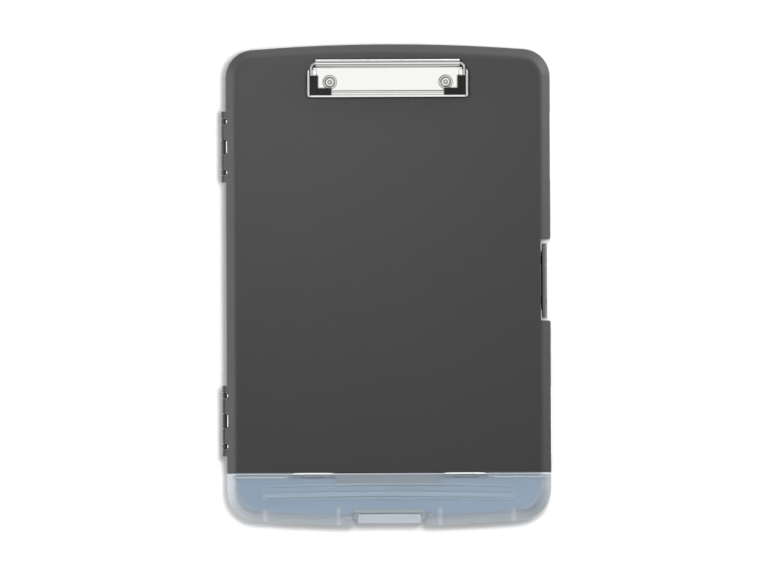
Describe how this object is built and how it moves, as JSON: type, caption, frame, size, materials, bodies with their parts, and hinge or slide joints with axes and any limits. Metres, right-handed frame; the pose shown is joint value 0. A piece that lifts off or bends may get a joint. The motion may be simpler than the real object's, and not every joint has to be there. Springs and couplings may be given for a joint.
{
  "type": "storage clipboard box",
  "caption": "Slim storage clipboard: charcoal paper case with a hinged writing lid, side latch, low-profile chrome clip and a frosted pen compartment with its own cover and tab latch.",
  "frame": {"origin": "centre of the case's outline, on its underside", "axes": "+X to the right across the writing surface, +Y up the sheet towards the paper clip, +Z out of the writing surface; the case lies flat, closed"},
  "size_m": [0.2445, 0.3581, 0.0333],
  "materials": {
    "charcoal": "fine satin moulded texture",
    "frosted_tray": "frosted translucent",
    "frosted_cover": "frosted translucent",
    "frosted_tab": "frosted translucent",
    "chrome": "bright nickel-chrome plate",
    "rivet": "bright plated",
    "steel": "drawn wire",
    "grip": "matt black"
  },
  "bodies": {
    "case": {"base_shell": "charcoal", "lid_pin_upper": "steel", "lid_pin_lower": "steel", "side_latch_pin": "steel", "pen_tray": "frosted_tray", "cover_pin_left": "steel", "cover_pin_right": "steel"},
    "lid": {"lid_shell": "charcoal", "clip_plate": "chrome", "clip_spring_left": "steel", "clip_spring_right": "steel", "rivet_left": "rivet", "rivet_right": "rivet", "washer_left": "steel", "washer_right": "steel"},
    "jaw": {"clip_jaw": "chrome", "clip_rod": "chrome", "corner_grip_left": "grip", "corner_grip_right": "grip"},
    "side_catch": {"side_latch": "charcoal"},
    "cover": {"pen_cover": "frosted_cover", "pen_latch_pin": "steel"},
    "tab": {"pen_latch": "frosted_tab"}
  },
  "joints": [
    {"name": "lid_hinge", "type": "hinge", "parent": "case", "child": "lid", "pos_m": [-0.1223, 0, 0.0175], "axis": [0, -1, 0], "range_deg": [0, 180]},
    {"name": "jaw_hinge", "type": "hinge", "parent": "lid", "child": "jaw", "pos_m": [0, 0.16505, 0.03015], "axis": [-1, 0, 0], "range_deg": [0, 60], "stiffness_Nm_per_rad": 0.25, "springref_deg": -34.38},
    {"name": "side_latch_hinge", "type": "hinge", "parent": "case", "child": "side_catch", "pos_m": [0.1161, 0.0028, 0.0046], "axis": [0, 1, 0], "range_deg": [-1.8, 75]},
    {"name": "cover_hinge", "type": "hinge", "parent": "case", "child": "cover", "pos_m": [0, -0.1425, 0.0253], "axis": [-1, 0, 0], "range_deg": [0, 110]},
    {"name": "tab_hinge", "type": "hinge", "parent": "cover", "child": "tab", "pos_m": [0, -0.172, 0.0242], "axis": [-1, 0, 0], "range_deg": [-1.8, 80]}
  ]
}
